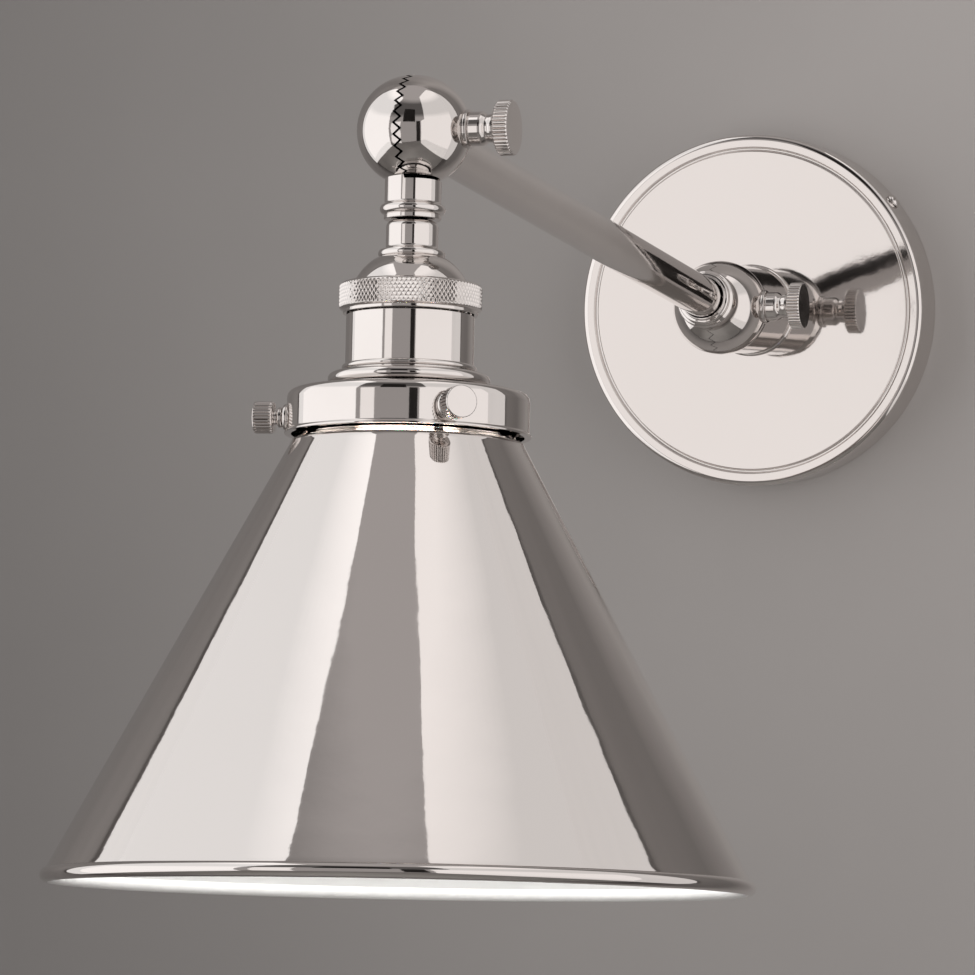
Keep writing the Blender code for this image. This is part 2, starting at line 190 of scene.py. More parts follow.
bright_aluminium = make_finish(
    "rolled aluminium", (0.80, 0.80, 0.81), (0.62, 0.62, 0.63), 0.24, 150.0, 0.4, 0.00003, Metallic=1.0
)
porcelain = make_finish(
    "glazed porcelain", (0.86, 0.85, 0.81), (0.76, 0.74, 0.69), 0.16, 80.0, 0.4, 0.00008, Coat_Weight=0.6,
    Coat_Roughness=0.05,
)
opal = make_finish(
    "frosted lamp glass", (0.95, 0.94, 0.91), (0.90, 0.89, 0.85), 0.28, 40.0, 0.3, 0.00002,
    Subsurface_Weight=0.2, Coat_Weight=0.3, Coat_Roughness=0.15, Emission_Strength=6.0,
)

# ---------------------------------------------------------------- patterns cut into turned pieces

GEOMETRY, MATERIAL, COUNT = "NodeSocketGeometry", "NodeSocketMaterial", "NodeSocketInt"


def radial_parts(tree):
    """Angle in turns, distance from the axis, and the three coordinates of each point."""
    place = step(tree, "ShaderNodeSeparateXYZ", {0: step(tree, "GeometryNodeInputPosition").outputs[0]})
    x, y, z = place.outputs
    angle = calc(tree, "DIVIDE", calc(tree, "ARCTAN2", y, x), 2 * math.pi)
    square = calc(tree, "ADD", calc(tree, "MULTIPLY", x, x), calc(tree, "MULTIPLY", y, y))
    return angle, calc(tree, "SQRT", square), x, y, z


def finish_tree(tree, given, result, moved):
    """Ends a pattern tree: real geometry, in the material that was asked for."""
    realised = step(tree, "GeometryNodeRealizeInstances", {0: moved.outputs[0]})
    painted = step(tree, "GeometryNodeSetMaterial", {"Geometry": realised.outputs[0]})
    tree.links.new(given.outputs["Material"], painted.inputs["Material"])
    tree.links.new(painted.outputs[0], result.inputs["Geometry"])


def make_cut_tree():
    """V-shaped cuts in a turned band: straight flutes, crossed knurling or a screw thread."""
    shape = ("Slant A", "Slant B", "Depth", "Crown")
    place = ("Inner Radius", "Outer Radius", "Low End", "High End", "Run Out")
    sizes = {name: NUMBER for name in shape + place}
    tree, given, result = new_group(
        "Cut Band",
        "GeometryNodeTree",
        {"Geometry": GEOMETRY, "Cuts": COUNT, **sizes, "Material": MATERIAL},
        {"Geometry": GEOMETRY},
    )
    angle, radius, x, y, z = radial_parts(tree)
    around = calc(tree, "MULTIPLY", angle, given.outputs["Cuts"])
    heights = []
    for slant in ("Slant A", "Slant B"):
        phase = calc(tree, "ADD", around, calc(tree, "MULTIPLY", z, given.outputs[slant]))
        heights.append(calc(tree, "PINGPONG", phase, 0.5))
    land = calc(tree, "MULTIPLY", calc(tree, "MINIMUM", *heights), 2.0)
    hollow = calc(tree, "SUBTRACT", 1.0, land)
    square = calc(tree, "SUBTRACT", 1.0, calc(tree, "MULTIPLY", hollow, hollow))
    crowned = calc(tree, "SUBTRACT", 1.0, calc(tree, "SQRT", calc(tree, "MAXIMUM", square, 0.0)))
    crown = calc(tree, "MULTIPLY", calc(tree, "SUBTRACT", crowned, hollow), given.outputs["Crown"])
    cut = calc(tree, "ADD", hollow, crown)
    inner = given.outputs["Inner Radius"]
    width = calc(tree, "SUBTRACT", given.outputs["Outer Radius"], inner)
    reach = calc(tree, "DIVIDE", calc(tree, "SUBTRACT", radius, inner), width, clamp=True)
    for first, second in (("z", "Low End"), ("High End", "z")):
        ends = [z if name == "z" else given.outputs[name] for name in (first, second)]
        room = calc(tree, "DIVIDE", calc(tree, "SUBTRACT", *ends), given.outputs["Run Out"], clamp=True)
        reach = calc(tree, "MULTIPLY", reach, room)
    drop = calc(tree, "MULTIPLY", calc(tree, "MULTIPLY", cut, reach), given.outputs["Depth"])
    scale = calc(tree, "DIVIDE", calc(tree, "MULTIPLY", drop, -1.0), calc(tree, "MAXIMUM", radius, 1e-6))
    inward = [calc(tree, "MULTIPLY", side, scale) for side in (x, y)]
    offset = step(tree, "ShaderNodeCombineXYZ", dict(enumerate(inward))).outputs[0]
    whole = given.outputs["Geometry"]
    moved = step(tree, "GeometryNodeSetPosition", {"Geometry": whole, "Offset": offset})
    finish_tree(tree, given, result, moved)
    return tree


def make_teeth_tree():
    """Radial teeth on the flat face of half a ball, with the ball's own surface kept round."""
    sizes = {name: NUMBER for name in ("Depth", "Ball Radius", "Ball Centre", "Face", "Blend", "Side")}
    tree, given, result = new_group(
        "Ball Teeth",
        "GeometryNodeTree",
        {"Geometry": GEOMETRY, "Teeth": COUNT, **sizes, "Material": MATERIAL},
        {"Geometry": GEOMETRY},
    )
    angle, radius, x, y, z = radial_parts(tree)
    phase = calc(tree, "PINGPONG", calc(tree, "MULTIPLY", angle, given.outputs["Teeth"]), 0.5)
    wave = calc(tree, "SUBTRACT", calc(tree, "MULTIPLY", phase, 2.0), 0.5)
    share = calc(tree, "DIVIDE", radius, given.outputs["Ball Radius"])
    away = calc(tree, "MULTIPLY", calc(tree, "SUBTRACT", z, given.outputs["Face"]), given.outputs["Side"])
    near = calc(tree, "SUBTRACT", 1.0, calc(tree, "DIVIDE", away, given.outputs["Blend"]), clamp=True)
    rise = calc(tree, "MULTIPLY", calc(tree, "MULTIPLY", wave, share), given.outputs["Depth"])
    rise = calc(tree, "MULTIPLY", rise, near)
    moved_z = calc(tree, "ADD", z, rise)
    from_centre = calc(tree, "SUBTRACT", z, given.outputs["Ball Centre"])
    squares = [calc(tree, "MULTIPLY", part, part) for part in (radius, from_centre)]
    distance = calc(tree, "SQRT", calc(tree, "ADD", *squares))
    on_ball = calc(tree, "COMPARE", distance, given.outputs["Ball Radius"], 0.00012)
    new_from = calc(tree, "SUBTRACT", moved_z, given.outputs["Ball Centre"])
    ball_square = calc(tree, "MULTIPLY", given.outputs["Ball Radius"], given.outputs["Ball Radius"])
    left = calc(tree, "SUBTRACT", ball_square, calc(tree, "MULTIPLY", new_from, new_from))
    ball_radius = calc(tree, "SQRT", calc(tree, "MAXIMUM", left, 0.0))
    ratio = calc(tree, "DIVIDE", ball_radius, calc(tree, "MAXIMUM", radius, 1e-6))
    ratio = calc(tree, "ADD", calc(tree, "MULTIPLY", calc(tree, "SUBTRACT", ratio, 1.0), on_ball), 1.0)
    across = [calc(tree, "MULTIPLY", side, ratio) for side in (x, y)]
    place = step(tree, "ShaderNodeCombineXYZ", dict(enumerate([*across, moved_z]))).outputs[0]
    whole = given.outputs["Geometry"]
    moved = step(tree, "GeometryNodeSetPosition", {"Geometry": whole, "Position": place})
    finish_tree(tree, given, result, moved)
    return tree


CUT_BAND = make_cut_tree()
BALL_TEETH = make_teeth_tree()

# ---------------------------------------------------------------- turned shapes

SOFT = 4


def soften(points, closed):
    """The outline with each corner that names a radius rounded. Every flat beside a rounding gets
    a point close to it, so that the flat stays flat when the piece is shaded smooth."""
    result = []
    for index, point in enumerate(points):
        corner = Vector(point[:2])
        size = point[2] if len(point) > 2 else 0
        inside = closed or 0 < index < len(points) - 1
        if not size or not inside:
            result.append(tuple(corner))
            continue
        before = Vector(points[index - 1][:2]) - corner
        after = Vector(points[(index + 1) % len(points)][:2]) - corner
        reach = min(size, 0.45 * before.length, 0.45 * after.length)
        start = corner + before.normalized() * reach
        end = corner + after.normalized() * reach
        result.append(tuple(corner + before.normalized() * reach * 1.06))
        for place in range(SOFT + 1):
            t = place / SOFT
            result.append(tuple((1 - t) ** 2 * start + 2 * t * (1 - t) * corner + t * t * end))
        result.append(tuple(corner + after.normalized() * reach * 1.06))
    return result


def bow(centre, radius, start, end, steps=12):
    """Points of an arc in degrees; 0 points away from the axis and 90 towards smaller heights."""
    angles = [math.radians(start + (end - start) * i / steps) for i in range(steps + 1)]
    return [(centre[0] + radius * math.cos(a), centre[1] - radius * math.sin(a)) for a in angles]


def lathe(points, segments=96):
    """A mesh turned about Z from (radius, height[, corner radius]) points in millimetres."""
    closed = points[0][0] > 0
    outline = soften(points, closed)
    build = bmesh.new()
    turns = [2 * math.pi * i / segments for i in range(segments)]
    rings = []
    for radius, height in outline:
        if radius <= 0:
            rings.append([build.verts.new((0, 0, height * MM))])
            continue
        across, up = radius * MM, height * MM
        places = [(across * math.cos(t), across * math.sin(t), up) for t in turns]
        rings.append([build.verts.new(place) for place in places])
    pairs = list(zip(rings, rings[1:]))
    if closed:
        pairs.append((rings[-1], rings[0]))
    for first, second in pairs:
        for i in range(segments):
            j = (i + 1) % segments
            ends = (first, i), (first, j), (second, j), (second, i)
            corners = list(dict.fromkeys(ring[k % len(ring)] for ring, k in ends))
            if len(corners) > 2:
                build.faces.new(corners)
    bmesh.ops.remove_doubles(build, verts=build.verts, dist=1e-7)
    bmesh.ops.recalc_face_normals(build, faces=build.faces)
    mesh = bpy.data.meshes.new("turned")
    build.to_mesh(mesh)
    build.free()
    return mesh


def evaluated(mesh, add_modifiers):
    """The mesh that the modifiers make of this one."""
    holder = bpy.data.objects.new("holder", mesh)
    bpy.context.scene.collection.objects.link(holder)
    add_modifiers(holder)
    graph = bpy.context.evaluated_depsgraph_get()
    result = bpy.data.meshes.new_from_object(holder.evaluated_get(graph))
    bpy.data.objects.remove(holder)
    return result


def worked(mesh, tree, **settings):
    """The mesh after a pattern tree, with the tree's named inputs set first."""
    places = {item.name: item.identifier for item in tree.interface.items_tree if item.in_out == "INPUT"}

    def add(holder):
        pattern = holder.modifiers.new("pattern", "NODES")
        pattern.node_group = tree
        for name, value in settings.items():
            pattern[places[name.replace("_", " ")]] = value

    return evaluated(mesh, add)


def carved(mesh, cutters):
    """The mesh with these cutter meshes taken away."""
    holders = []
    for cutter in cutters:
        holder = bpy.data.objects.new("cutter", cutter)
        bpy.context.scene.collection.objects.link(holder)
        holders.append(holder)

    def add(piece):
        for holder in holders:
            cut = piece.modifiers.new("cut", "BOOLEAN")
            cut.operation = "DIFFERENCE"
            cut.object = holder

    result = evaluated(mesh, add)
    for holder in holders:
        bpy.data.objects.remove(holder)
    return result


def block(size, centre, turn=0.0):
    """A box cutter, size and centre in millimetres, turned about Z."""
    build = bmesh.new()
    bmesh.ops.create_cube(build, size=1.0)
    for vertex in build.verts:
        vertex.co = [value * MM * length for value, length in zip(vertex.co, size)]
    build.transform(Matrix.Rotation(turn, 4, "Z"))
    build.transform(Matrix.Translation(Vector(centre) * MM))
    mesh = bpy.data.meshes.new("block")
    build.to_mesh(mesh)
    build.free()
    return mesh


def plug(radius, low, high, segments=32):
    """A round cutter along Z."""
    return lathe([(0, low), (radius, low), (radius, high), (0, high)], segments)


def moved(mesh, matrix):
    mesh.transform(matrix)
    return mesh


def shift(x=0.0, y=0.0, z=0.0):
    return Matrix.Translation(Vector((x, y, z)) * MM)


def piece(name, mesh, place, body, slot, materials, nodes=None, crease=38.0, paint=None):
    """Places a finished mesh as a piece of the light, in the room of its CAD nodes."""
    mesh.transform(place)
    if place.to_3x3().determinant() < 0:
        mesh.flip_normals()
    mesh.materials.clear()
    for material in materials:
        mesh.materials.append(material)
    for face in mesh.polygons:
        face.material_index = paint(face) if paint else 0
    mesh.shade_smooth()
    mesh.set_sharp_from_angle(angle=math.radians(crease))
    mesh.name = name
    made = bpy.data.objects.new(name, mesh)
    bpy.context.scene.collection.objects.link(made)
    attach(made, body)
    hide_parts(*(nodes or [name.replace("_piece", "")]))
    return made


def nickel_piece(node, mesh, place, body, crease=38.0):
    return piece(node + "_piece", mesh, place, body, "polished_nickel", [nickel], [node], crease)


def brass_piece(node, mesh, place, body):
    return piece(node + "_piece", mesh, place, body, "brass", [brass], [node])


# ---------------------------------------------------------------- wall plate and its fixings


def slotted_dome(radius, height, reach, shank):
    """A domed screw head with a driver slot; the shank runs the other way."""
    head = [(0, -reach), (shank, -reach, 0.3), (shank, 0), (radius, 0, 0.15)]
    head += [(radius, height * 0.35, 0.4), (radius * 0.72, height * 0.85, radius * 0.2), (0, height)]
    slot = block((radius * 2.4, radius * 0.34, height), (0, 0, height))
    return carved(lathe(head, 64), [slot])


def threaded(shank, start, end, pitch):
    """Rows of points along a shank, close enough together to carry a thread."""
    rows = max(2, int((end - start) / pitch * 8))
    return [(shank, start + (end - start) * i / rows) for i in range(rows + 1)]


def thread_settings(shank, pitch, depth, low, high):
    """Inputs of the cut band for a single thread on a shank, given in millimetres."""
    turns = 1.0 / (pitch * MM)
    return {
        "Cuts": 1, "Slant_A": turns, "Slant_B": turns, "Depth": depth * MM, "Crown": 1.0,
        "Inner_Radius": (shank - 0.05) * MM, "Outer_Radius": shank * MM, "Low_End": low * MM,
        "High_End": high * MM, "Run_Out": pitch * MM,
    }


PLATE_FRONT, PLATE_RADIUS = 18.5, 57.12
BACK = 0.02
BOX_SCREW_OFFSET = 41.65
GROUND_SCREW_PLACE = -30.0


def make_wall_plate():
    """The spun plate with its turned groove, its side screws and the pan that it closes over."""
    front, groove = PLATE_FRONT, PLATE_FRONT - 0.65
    inside = front - 1.2
    outline = [(55.95, BACK), (PLATE_RADIUS, BACK, 0.2), (PLATE_RADIUS, front, 1.9), (53.15, front, 0.12)]
    outline += [(52.75, groove, 0.25), (52.05, groove, 0.25), (51.65, front, 0.12), (5.6, front, 0.1)]
    outline += [(5.6, inside), (54.7, inside, 0.8), (55.95, 16.0, 0.6)]
    plate = lathe(outline, 192)
    piece("backplate_piece", plate, FRAME_WALL, "wall", "polished_nickel", [nickel_spun], ["backplate"])

    for number, angle in enumerate((37.0, 217.0), 1):
        place = FRAME_WALL @ shift(z=9.0) @ Matrix.Rotation(math.radians(angle), 4, "Z")
        place = place @ Matrix.Rotation(math.pi / 2, 4, "Y") @ shift(z=57.2)
        screw = slotted_dome(2.5, 1.7, 6.0, 1.5)
        nickel_piece(f"side_screw_{number}", screw, place, "wall")

    outline = [(20.0, BACK, 0.3), (54.6, BACK, 1.6), (54.6, 12.0, 0.3), (53.1, 12.0, 0.3)]
    outline += [(53.1, 1.5, 0.9), (20.0, 1.5, 0.3)]
    holes = [moved(plug(2.5, -2, 4), shift(x=side * BOX_SCREW_OFFSET)) for side in (-1, 1)]
    holes += [block((10.0, 4.6, 6.0), (side * 33.0, 24.0, 1.0), side * 0.7) for side in (-1, 1)]
    holes += [moved(plug(2.1, -2, 4), shift(y=GROUND_SCREW_PLACE))]
    pan = carved(lathe(outline, 144), holes)
    piece("mounting_pan_piece", pan, FRAME_WALL, "wall", "zinc_steel", [zinc], ["mounting_pan"])

    for number, side in enumerate((-1, 1), 1):
        node, start, pitch = f"box_screw_{number}", -9.97, 0.8
        rows = threaded(2.1, start + 0.6, 1.2, pitch)
        shank = [(0, start), (1.5, start, 0.1), *rows, (2.1, 1.8), (4.0, 1.8, 0.1), (4.0, 2.5, 0.4)]
        shank += [(2.9, 4.15, 0.9), (0, 4.2)]
        thread = thread_settings(2.1, pitch, 0.42, start + 0.4, 1.4)
        mesh = worked(lathe(shank, 48), CUT_BAND, **thread, Material=zinc)
        mesh = carved(mesh, [block((6.0, 0.95, 1.4), (0, 0, 4.2))])
        mesh = carved(mesh, [block((3.6, 0.95, 2.4), (0, 0, 4.2), math.pi / 2)])
        place = FRAME_WALL @ shift(x=side * BOX_SCREW_OFFSET)
        piece(node + "_piece", mesh, place, "wall", "zinc_steel", [zinc], [node])

    head = [(0, 0.25), (1.7, 0.25, 0.2), (1.7, 1.8), (3.4, 1.8, 0.1), (3.4, 3.4, 0.25), (0, 3.4)]
    mesh = carved(lathe(head, 6 * 12), [block((8.0, 0.8, 1.4), (0, 0, 3.4))])
    place = FRAME_WALL @ shift(y=GROUND_SCREW_PLACE)
    piece("ground_screw_piece", mesh, place, "wall", "ground_green", [ground_green], ["ground_screw"])


# ---------------------------------------------------------------- toothed ball joints

BALL_RADIUS = 14.9
TEETH = 30
TOOTH_DEPTH = 1.8
TOOTH_BLEND = 4.5
DOME_STEPS = 26
KNOB_SEAT = 4.6
STUD_BORE = 2.85
WALL_JOINT_GAP = 0.12
SHADE_JOINT_GAP = 0.45
WALL_KNOB_OPENING = 0.2
SHADE_KNOB_OPENING = 0.5
NECK_CLEARANCE = 15.4
WALL_COLLAR_CLEARANCE = 15.5
STEM_CLEARANCE = 15.7
ARM_SIDE, FIXED_SIDE = 1, -1


def toothed_half(side, gap, bored):
    """Half a joint ball along the hinge axis, with a face of radial teeth on its flat side."""
    face = side * gap
    centre = face
    last = math.acos(KNOB_SEAT / BALL_RADIUS) if bored else math.pi / 2
    dome = []
    for i in range(DOME_STEPS + 1):
        angle = last * i / DOME_STEPS
        dome.append((BALL_RADIUS * math.cos(angle), centre + side * BALL_RADIUS * math.sin(angle)))
    if not bored:
        dome[-1] = (0, dome[-1][1])
    deep = face + side * 6.0
    across = [14.2, 13.2, 12.0, 10.8, 9.6]
    teeth = [(radius, face) for radius in reversed(across)]
    pocket = [(2.9, deep), (8.6, deep, 0.5), (9.0, face)]
    if bored:
        outline = [*pocket, *teeth, *dome, (2.9, dome[-1][1])]
    else:
        outline = [(0, deep + side * 4.0), (2.9, deep + side * 4.0), *pocket, *teeth, *dome]
    mesh = lathe(outline, TEETH * 12)
    return worked(
        mesh, BALL_TEETH, Teeth=TEETH, Depth=TOOTH_DEPTH * MM, Ball_Radius=BALL_RADIUS * MM,
        Ball_Centre=centre * MM, Face=face * MM, Blend=TOOTH_BLEND * MM, Side=float(side),
        Material=nickel,
    )


FLUTES = 42


def knob_mesh(seat):
    """A clamp knob: drum, waist and a round head with straight flutes round its edge."""
    drum = seat + 0.3
    head = drum + 7.6
    top = head + 4.1
    rim_rows = [(7.4, head + 0.35 + 3.4 * i / 10) for i in range(11)]
    outline = [(0, drum + 6.8), (STUD_BORE, drum + 6.8), (STUD_BORE, drum), (KNOB_SEAT, drum, 0.25)]
    outline += [(KNOB_SEAT, drum + 3.2, 0.5), (3.75, drum + 4.4, 0.6), (3.75, drum + 5.0, 0.5)]
    outline += [(3.95, drum + 6.3, 0.5), (3.5, head, 0.25)]
    outline += [(7.05, head, 0.1), *rim_rows, (7.05, top, 0.1), (0, top)]
    mesh = lathe(outline, FLUTES * 8)
    return worked(
        mesh, CUT_BAND, Cuts=FLUTES, Slant_A=0.0, Slant_B=0.0, Depth=0.5 * MM, Crown=1.0,
        Inner_Radius=6.95 * MM, Outer_Radius=7.2 * MM, Low_End=(head - 0.2) * MM,
        High_End=(top + 0.2) * MM, Run_Out=0.4 * MM, Material=nickel,
    )


def make_joint_fixings(prefix, place, opening, carrier, clamped, knob_body):
    """Washer, stud and knob of one ball joint. The washer seats on the ball and carries the knob."""
    seat = opening + math.sqrt(BALL_RADIUS**2 - KNOB_SEAT**2)
    end = seat + 0.3 + 0.9
    ring = [(STUD_BORE, seat - 0.2), (5.1, seat - 0.3, 0.2), (5.3, seat + 0.45, 0.3), (5.2, end, 0.25)]
    ring += [(4.3, end, 0.1), (4.3, end + 0.3), (STUD_BORE, end + 0.3)]
    nickel_piece(prefix + "_washer", lathe(ring, 64), place, clamped)
    stud_end = end + 0.3 + 6.4
    rows = threaded(2.45, -10.5, stud_end - 0.5, 0.9)
    shank = [(0, -11.3), (1.9, -11.3, 0.1), *rows, (1.9, stud_end, 0.1), (0, stud_end)]
    mesh = worked(
        lathe(shank, 36), CUT_BAND, **thread_settings(2.45, 0.9, 0.45, -10.8, stud_end), Material=zinc
    )
    piece(prefix + "_stud_piece", mesh, place, carrier, "zinc_steel", [zinc], [prefix + "_stud"])
    nickel_piece(prefix + "_knob", knob_mesh(end), place, knob_body, 30.0)


# ---------------------------------------------------------------- hub


def cradle(radius, inner, outer, steps=12):
    """Points on a ball of this radius between two distances from the axis."""
    across = [inner + (outer - inner) * i / steps for i in range(steps + 1)]
    return [(r, math.sqrt(radius * radius - r * r)) for r in across]


def brazed(mesh, clearance, side):
    """Sinks the half of a cradle that is brazed to its own ball half; the other half keeps clear.
    The ball's centre is the mesh's origin."""
    sunk = BALL_RADIUS - 0.3
    for vertex in mesh.vertices:
        distance = vertex.co.length / MM
        if abs(distance - clearance) < 0.04 and side * vertex.co.x > 0.0:
            across = math.hypot(vertex.co.x, vertex.co.y)
            height = math.sqrt(max((sunk * MM) ** 2 - across**2, 0.0))
            vertex.co.z = math.copysign(height, vertex.co.z)
    return mesh


NIPPLE_CLEAR = 5.3
WIRE_BORE = 4.0


def make_hub():
    """The neck, its ring on the plate, the tube and nut that hold it, and the inner ball half."""
    ball = -ball_a.y / MM
    outline = [*cradle(NECK_CLEARANCE, WIRE_BORE, 14.2), (14.2, ball - 21.9, 0.3), (13.7, ball - 21.6, 0.2)]
    outline += [(13.7, ball - 20.9, 0.2), (14.0, ball - 20.3, 0.2), (NIPPLE_CLEAR, ball - 20.3)]
    outline += [(NIPPLE_CLEAR, 24.0), (WIRE_BORE, 24.0)]
    towards_wall = FRAME_WALL @ shift(z=ball) @ FLIP
    neck = brazed(lathe(outline, 160), NECK_CLEARANCE, FIXED_SIDE)
    nickel_piece("hub_neck", neck, towards_wall, "hub")
    ring = [(NIPPLE_CLEAR, 18.75), (14.9, 18.75, 0.3), (14.9, 19.45, 0.3), (14.45, 20.0, 0.2)]
    ring += [(NIPPLE_CLEAR, 20.0)]
    nickel_piece("swivel_ring", lathe(ring, 128), FRAME_WALL, "hub")
    rows = threaded(4.95, 11.5, 30.6, 1.0)
    tube = [(3.6, 11.0), (4.5, 11.0, 0.1), *rows, (4.5, 31.0, 0.1), (3.6, 31.0)]
    mesh = worked(lathe(tube, 48), CUT_BAND, **thread_settings(4.95, 1.0, 0.5, 11.2, 30.8), Material=zinc)
    piece("threaded_nipple_piece", mesh, FRAME_WALL, "hub", "zinc_steel", [zinc], ["threaded_nipple"])
    ring = [(NIPPLE_CLEAR, 16.0, 0.1), (9.5, 16.0, 0.2), (9.5, 17.0, 0.2), (NIPPLE_CLEAR, 17.0, 0.1)]
    brass_piece("friction_washer", lathe(ring, 72), FRAME_WALL, "hub")
    nut = [(NIPPLE_CLEAR, 12.2, 0.3), (7.4, 12.2), (8.3, 12.7), (8.3, 15.2), (7.4, 15.7)]
    nut += [(NIPPLE_CLEAR, 15.7, 0.3)]
    sides = []
    for i in range(6):
        turn = math.pi / 3 * (i + 0.5)
        sides.append(moved(block((4.0, 20.0, 8.0), (9.1, 0, 14.0)), Matrix.Rotation(turn, 4, "Z")))
    nut = carved(lathe(nut, 72), sides)
    brass_piece("hex_nut", nut, FRAME_WALL, "hub")
    half = toothed_half(FIXED_SIDE, WALL_JOINT_GAP, False)
    nickel_piece("wall_joint_fixed_half", half, FRAME_HINGE_A, "hub", 30.0)


# ---------------------------------------------------------------- arm


TUBE_RADIUS, TUBE_BORE = 6.35, 5.3
COLLAR_BORE = 6.65


def collar_mesh(clearance):
    """A cradled collar with a round bead and a thin lip against the tube."""
    outline = cradle(clearance, COLLAR_BORE, 9.2)
    outline += [(9.2, 18.2, 1.0), (8.2, 18.7, 0.25), (8.2, 20.3, 1.1), (7.15, 20.6, 0.15)]
    outline += [(7.1, 21.45, 0.3), (COLLAR_BORE, 21.45)]
    return lathe(outline, 128)


def make_arm():
    """The tube, the collar at each end, the ball halves it carries and both clamps."""
    start, end = 16.5, ARM_LENGTH - 17
    outline = [(TUBE_BORE, start), (TUBE_RADIUS, start, 0.2), (TUBE_RADIUS, end, 0.2), (TUBE_BORE, end)]
    tube = lathe(outline, 96)
    nickel_piece("arm_tube", tube, FRAME_ARM, "arm")
    clearance = WALL_COLLAR_CLEARANCE
    nickel_piece("wall_collar", brazed(collar_mesh(clearance), clearance, ARM_SIDE), FRAME_ARM, "arm")
    far = FRAME_ARM @ shift(z=ARM_LENGTH) @ FLIP
    clearance = STEM_CLEARANCE
    nickel_piece("shade_collar", brazed(collar_mesh(clearance), clearance, ARM_SIDE), far, "arm")
    half = toothed_half(ARM_SIDE, WALL_JOINT_GAP, True)
    nickel_piece("wall_joint_arm_half", half, FRAME_HINGE_A, "arm", 30.0)
    half = toothed_half(ARM_SIDE, SHADE_JOINT_GAP, True)
    nickel_piece("shade_joint_arm_half", half, FRAME_HINGE_B, "arm", 30.0)
    make_joint_fixings("wall_joint", FRAME_HINGE_A, WALL_KNOB_OPENING, "hub", "arm", "wall_knob")
    make_joint_fixings("shade_joint", FRAME_HINGE_B, SHADE_KNOB_OPENING, "lamp", "arm", "shade_knob")


# ---------------------------------------------------------------- stem and lamp holder


def make_stem():
    """The ball half, the stem with its bead, and the coupling above the lamp holder."""
    half = toothed_half(FIXED_SIDE, SHADE_JOINT_GAP, False)
    nickel_piece("shade_joint_stem_half", half, FRAME_HINGE_B, "lamp", 30.0)
    outline = [*cradle(STEM_CLEARANCE, WIRE_BORE, 7.55), (7.55, 19.6, 0.3)]
    outline += bow((7.35, 21.25), 1.4, 70, -70, 16)
    outline += [(7.5, 22.75, 0.1), (7.65, 22.85, 0.1), (7.65, 24.0, 0.3), (WIRE_BORE, 24.0)]
    stem = brazed(lathe(outline, 128), STEM_CLEARANCE, FIXED_SIDE)
    nickel_piece("stem", stem, FRAME_LAMP, "lamp")
    outline = [(WIRE_BORE, 24.3), (5.9, 24.3, 0.6), (6.95, 25.3, 0.8), (6.95, 31.6, 0.4), (7.9, 32.3, 0.5)]
    outline += [*bow((7.7, 33.2), 1.25, 45, -60, 12), (WIRE_BORE, 34.3)]
    nickel_piece("stem_coupling", lathe(outline, 96), FRAME_LAMP, "lamp")


KNURLS = 96


def make_knurled_ring():
    """The ring that joins cap and shell, with a band of crossed cuts."""
    radius = 19.0
    band = [(radius, 42.15 + 5.6 * i / 48) for i in range(49)]
    outline = [(16.95, 41.35), (18.3, 41.35, 0.3), (18.75, 41.75, 0.2), *band, (18.75, 48.15, 0.15)]
    outline += [(18.3, 48.45, 0.15), (17.95, 48.6, 0.1), (17.95, 49.45, 0.35), (16.95, 49.45)]
    slant = KNURLS / (2 * math.pi * radius * MM) * math.tan(math.radians(33))
    mesh = worked(
        lathe(outline, KNURLS * 8), CUT_BAND, Cuts=KNURLS, Slant_A=slant, Slant_B=-slant,
        Depth=0.42 * MM, Crown=0.0, Inner_Radius=(radius - 0.2) * MM, Outer_Radius=(radius - 0.05) * MM,
        Low_End=42.0 * MM, High_End=47.9 * MM, Run_Out=0.15 * MM, Material=nickel,
    )
    nickel_piece("knurled_ring", mesh, FRAME_LAMP, "lamp", 24.0)


TERMINAL_OFFSET = 8
SHELL_CLEAR = 17.35


